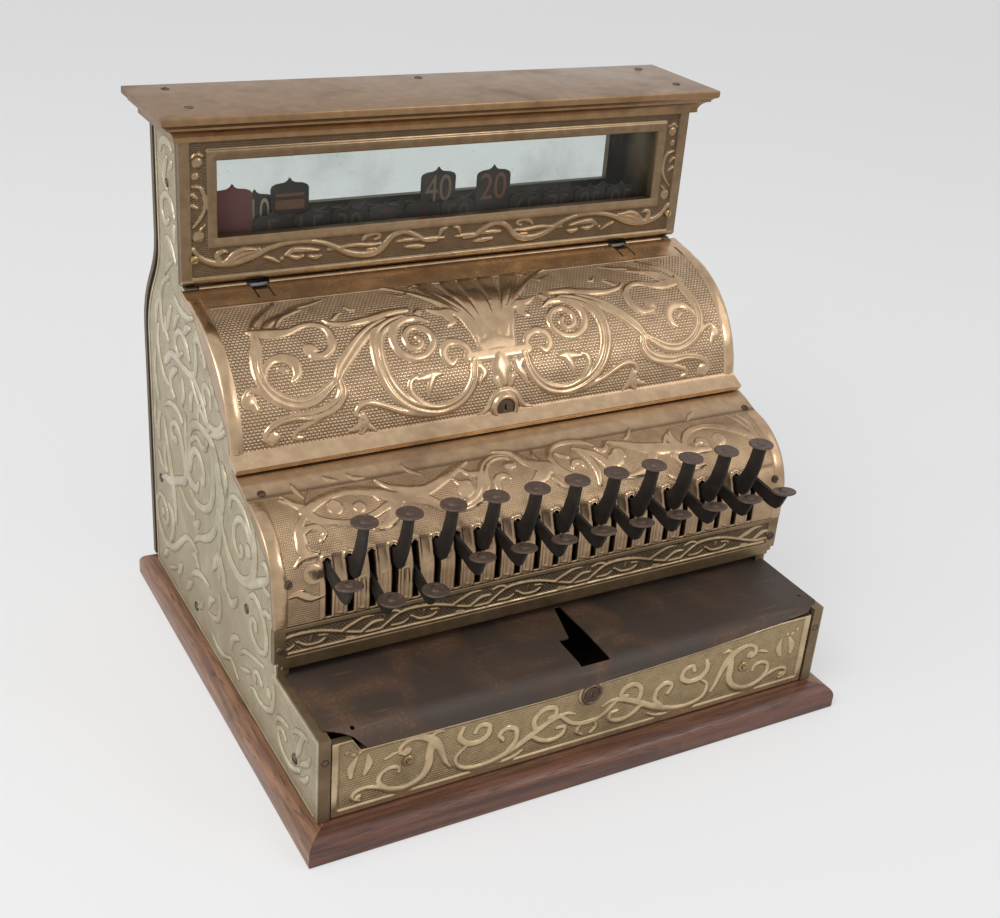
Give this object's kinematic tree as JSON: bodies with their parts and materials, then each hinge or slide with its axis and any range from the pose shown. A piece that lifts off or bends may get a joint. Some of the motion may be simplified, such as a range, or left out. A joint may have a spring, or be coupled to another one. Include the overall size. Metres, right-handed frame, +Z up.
{
  "type": "cash register",
  "caption": "Antique cast-metal counter cash register on a wooden base, with long drop keys, pop-up flag window, hinged lid and cash drawer.",
  "frame": {"origin": "centre of the underside of the wooden base, in the middle of the outline seen from above", "axes": "+X to the right seen from the front, +Y to the back, +Z up"},
  "size_m": [0.462, 0.4, 0.4337],
  "materials": {
    "base_wood": "stained and waxed red-brown, worn at the edges",
    "inner_wood": "unfinished, aged",
    "cast_silver": "nickel plated low relief with a grey-green patina",
    "worn_bronze": "worn plating over copper alloy, polished on the high relief",
    "copper_stain": "plain, stained and dulled",
    "rusty_sheet": "dark japanned sheet gone rusty",
    "steel": "oiled, dull",
    "key_iron": "blackened, rubbed brown on the discs",
    "glass": "old clear pane, dusty at the edges",
    "brass": "tarnished",
    "dark_flag": "matt dark paint with plain numerals",
    "red_flag": "faded matt red paint",
    "cream_flag": "yellowed matt cream paint"
  },
  "bodies": {
    "cabinet": {"base_front_rail": "base_wood", "base_back_rail": "base_wood", "base_left_rail": "base_wood", "base_right_rail": "base_wood", "base_board": "inner_wood", "left_side_plate": "cast_silver", "right_side_plate": "cast_silver", "rear_cover": "copper_stain", "rear_glass": "glass", "top_cornice": "copper_stain", "window_frame": "worn_bronze", "front_glass": "glass", "key_panel": "worn_bronze", "lower_rail": "worn_bronze", "lid_hinge_rod": "steel", "key_shaft": "steel", "key_stop_bar": "steel", "lowered_flags": "dark_flag", "flag_guide": "steel", "drawer_cover": "rusty_sheet", "drawer_guide_left": "inner_wood", "drawer_guide_right": "inner_wood", "drawer_spring": "steel", "bell": "brass", "hammer_post": "steel"},
    "drawer": {"drawer_front": "cast_silver", "drawer_tray": "inner_wood"},
    "drawer_lock_barrel": {"drawer_lock": "brass"},
    "lid": {"upper_lid": "worn_bronze"},
    "lid_lock_barrel": {"lid_lock": "brass"},
    "hammer": {"bell_hammer": "brass"},
    "key_01_lever": {"key_01": "key_iron"},
    "key_02_lever": {"key_02": "key_iron"},
    "key_03_lever": {"key_03": "key_iron"},
    "key_04_lever": {"key_04": "key_iron"},
    "key_05_lever": {"key_05": "key_iron"},
    "key_06_lever": {"key_06": "key_iron"},
    "key_07_lever": {"key_07": "key_iron"},
    "key_08_lever": {"key_08": "key_iron"},
    "key_09_lever": {"key_09": "key_iron"},
    "key_10_lever": {"key_10": "key_iron"},
    "key_11_lever": {"key_11": "key_iron"},
    "key_12_lever": {"key_12": "key_iron"},
    "key_13_lever": {"key_13": "key_iron"},
    "key_14_lever": {"key_14": "key_iron"},
    "key_15_lever": {"key_15": "key_iron"},
    "key_16_lever": {"key_16": "key_iron"},
    "key_17_lever": {"key_17": "key_iron"},
    "key_18_lever": {"key_18": "key_iron"},
    "key_19_lever": {"key_19": "key_iron"},
    "key_20_lever": {"key_20": "key_iron"},
    "key_21_lever": {"key_21": "key_iron"},
    "key_22_lever": {"key_22": "key_iron"},
    "key_23_lever": {"key_23": "key_iron"},
    "flag_01_tablet": {"flag_01": "red_flag"},
    "flag_02_tablet": {"flag_02": "cream_flag"},
    "flag_04_tablet": {"flag_04": "dark_flag"},
    "flag_12_tablet": {"flag_12": "dark_flag"},
    "flag_15_tablet": {"flag_15": "dark_flag"}
  },
  "joints": [
    {"name": "drawer_slide", "type": "slide", "parent": "cabinet", "child": "drawer", "axis": [0, -1, 0], "range_m": [0, 0.25]},
    {"name": "drawer_lock_turn", "type": "hinge", "parent": "drawer", "child": "drawer_lock_barrel", "pos_m": [0, -0.181, 0.0655], "axis": [0, -1, 0], "range_deg": [0, 90]},
    {"name": "lid_hinge", "type": "hinge", "parent": "cabinet", "child": "lid", "pos_m": [0, 0.0822, 0.303], "axis": [-1, 0, 0], "range_deg": [0, 56]},
    {"name": "lid_lock_turn", "type": "hinge", "parent": "lid", "child": "lid_lock_barrel", "pos_m": [0, -0.02465, 0.22518], "axis": [0, -0.9903, 0.1392], "range_deg": [0, 90]},
    {"name": "key_01_press", "type": "hinge", "parent": "cabinet", "child": "key_01_lever", "pos_m": [-0.1764, -0.02, 0.189], "axis": [1, 0, 0], "range_deg": [0, 10], "stiffness_Nm_per_rad": 0.1, "springref_deg": -28.65},
    {"name": "key_02_press", "type": "hinge", "parent": "cabinet", "child": "key_02_lever", "pos_m": [-0.15998, -0.02, 0.189], "axis": [1, 0, 0], "range_deg": [0, 10], "stiffness_Nm_per_rad": 0.1, "springref_deg": -28.65},
    {"name": "key_03_press", "type": "hinge", "parent": "cabinet", "child": "key_03_lever", "pos_m": [-0.14356, -0.02, 0.189], "axis": [1, 0, 0], "range_deg": [-10, 0]},
    {"name": "key_04_press", "type": "hinge", "parent": "cabinet", "child": "key_04_lever", "pos_m": [-0.12714, -0.02, 0.189], "axis": [1, 0, 0], "range_deg": [0, 10], "stiffness_Nm_per_rad": 0.1, "springref_deg": -28.65},
    {"name": "key_05_press", "type": "hinge", "parent": "cabinet", "child": "key_05_lever", "pos_m": [-0.11072, -0.02, 0.189], "axis": [1, 0, 0], "range_deg": [-10, 0]},
    {"name": "key_06_press", "type": "hinge", "parent": "cabinet", "child": "key_06_lever", "pos_m": [-0.0943, -0.02, 0.189], "axis": [1, 0, 0], "range_deg": [0, 10], "stiffness_Nm_per_rad": 0.1, "springref_deg": -28.65},
    {"name": "key_07_press", "type": "hinge", "parent": "cabinet", "child": "key_07_lever", "pos_m": [-0.07788, -0.02, 0.189], "axis": [1, 0, 0], "range_deg": [0, 10], "stiffness_Nm_per_rad": 0.1, "springref_deg": -28.65},
    {"name": "key_08_press", "type": "hinge", "parent": "cabinet", "child": "key_08_lever", "pos_m": [-0.06146, -0.02, 0.189], "axis": [1, 0, 0], "range_deg": [0, 10], "stiffness_Nm_per_rad": 0.1, "springref_deg": -28.65},
    {"name": "key_09_press", "type": "hinge", "parent": "cabinet", "child": "key_09_lever", "pos_m": [-0.04504, -0.02, 0.189], "axis": [1, 0, 0], "range_deg": [0, 10], "stiffness_Nm_per_rad": 0.1, "springref_deg": -28.65},
    {"name": "key_10_press", "type": "hinge", "parent": "cabinet", "child": "key_10_lever", "pos_m": [-0.02862, -0.02, 0.189], "axis": [1, 0, 0], "range_deg": [0, 10], "stiffness_Nm_per_rad": 0.1, "springref_deg": -28.65},
    {"name": "key_11_press", "type": "hinge", "parent": "cabinet", "child": "key_11_lever", "pos_m": [-0.0122, -0.02, 0.189], "axis": [1, 0, 0], "range_deg": [0, 10], "stiffness_Nm_per_rad": 0.1, "springref_deg": -28.65},
    {"name": "key_12_press", "type": "hinge", "parent": "cabinet", "child": "key_12_lever", "pos_m": [0.00422, -0.02, 0.189], "axis": [1, 0, 0], "range_deg": [0, 10], "stiffness_Nm_per_rad": 0.1, "springref_deg": -28.65},
    {"name": "key_13_press", "type": "hinge", "parent": "cabinet", "child": "key_13_lever", "pos_m": [0.02064, -0.02, 0.189], "axis": [1, 0, 0], "range_deg": [0, 10], "stiffness_Nm_per_rad": 0.1, "springref_deg": -28.65},
    {"name": "key_14_press", "type": "hinge", "parent": "cabinet", "child": "key_14_lever", "pos_m": [0.03706, -0.02, 0.189], "axis": [1, 0, 0], "range_deg": [0, 10], "stiffness_Nm_per_rad": 0.1, "springref_deg": -28.65},
    {"name": "key_15_press", "type": "hinge", "parent": "cabinet", "child": "key_15_lever", "pos_m": [0.05348, -0.02, 0.189], "axis": [1, 0, 0], "range_deg": [0, 10], "stiffness_Nm_per_rad": 0.1, "springref_deg": -28.65},
    {"name": "key_16_press", "type": "hinge", "parent": "cabinet", "child": "key_16_lever", "pos_m": [0.0699, -0.02, 0.189], "axis": [1, 0, 0], "range_deg": [0, 10], "stiffness_Nm_per_rad": 0.1, "springref_deg": -28.65},
    {"name": "key_17_press", "type": "hinge", "parent": "cabinet", "child": "key_17_lever", "pos_m": [0.08632, -0.02, 0.189], "axis": [1, 0, 0], "range_deg": [0, 10], "stiffness_Nm_per_rad": 0.1, "springref_deg": -28.65},
    {"name": "key_18_press", "type": "hinge", "parent": "cabinet", "child": "key_18_lever", "pos_m": [0.10274, -0.02, 0.189], "axis": [1, 0, 0], "range_deg": [0, 10], "stiffness_Nm_per_rad": 0.1, "springref_deg": -28.65},
    {"name": "key_19_press", "type": "hinge", "parent": "cabinet", "child": "key_19_lever", "pos_m": [0.11916, -0.02, 0.189], "axis": [1, 0, 0], "range_deg": [0, 10], "stiffness_Nm_per_rad": 0.1, "springref_deg": -28.65},
    {"name": "key_20_press", "type": "hinge", "parent": "cabinet", "child": "key_20_lever", "pos_m": [0.13558, -0.02, 0.189], "axis": [1, 0, 0], "range_deg": [0, 10], "stiffness_Nm_per_rad": 0.1, "springref_deg": -28.65},
    {"name": "key_21_press", "type": "hinge", "parent": "cabinet", "child": "key_21_lever", "pos_m": [0.152, -0.02, 0.189], "axis": [1, 0, 0], "range_deg": [0, 10], "stiffness_Nm_per_rad": 0.1, "springref_deg": -28.65},
    {"name": "key_22_press", "type": "hinge", "parent": "cabinet", "child": "key_22_lever", "pos_m": [0.16842, -0.02, 0.189], "axis": [1, 0, 0], "range_deg": [0, 10], "stiffness_Nm_per_rad": 0.1, "springref_deg": -28.65},
    {"name": "key_23_press", "type": "hinge", "parent": "cabinet", "child": "key_23_lever", "pos_m": [0.18484, -0.02, 0.189], "axis": [1, 0, 0], "range_deg": [0, 10], "stiffness_Nm_per_rad": 0.1, "springref_deg": -28.65},
    {"name": "flag_01_rise", "type": "slide", "parent": "cabinet", "child": "flag_01_tablet", "axis": [0, 0, 1], "range_m": [-0.022, 0]},
    {"name": "flag_02_rise", "type": "slide", "parent": "cabinet", "child": "flag_02_tablet", "axis": [0, 0, 1], "range_m": [-0.0145, 0.0075]},
    {"name": "flag_04_rise", "type": "slide", "parent": "cabinet", "child": "flag_04_tablet", "axis": [0, 0, 1], "range_m": [-0.022, 0]},
    {"name": "flag_12_rise", "type": "slide", "parent": "cabinet", "child": "flag_12_tablet", "axis": [0, 0, 1], "range_m": [-0.022, 0]},
    {"name": "flag_15_rise", "type": "slide", "parent": "cabinet", "child": "flag_15_tablet", "axis": [0, 0, 1], "range_m": [-0.022, 0]},
    {"name": "hammer_swing", "type": "hinge", "parent": "cabinet", "child": "hammer", "pos_m": [-0.0941, 0.163, 0.0415], "axis": [0, 0, 1], "range_deg": [0, 35], "stiffness_Nm_per_rad": 0.004}
  ]
}
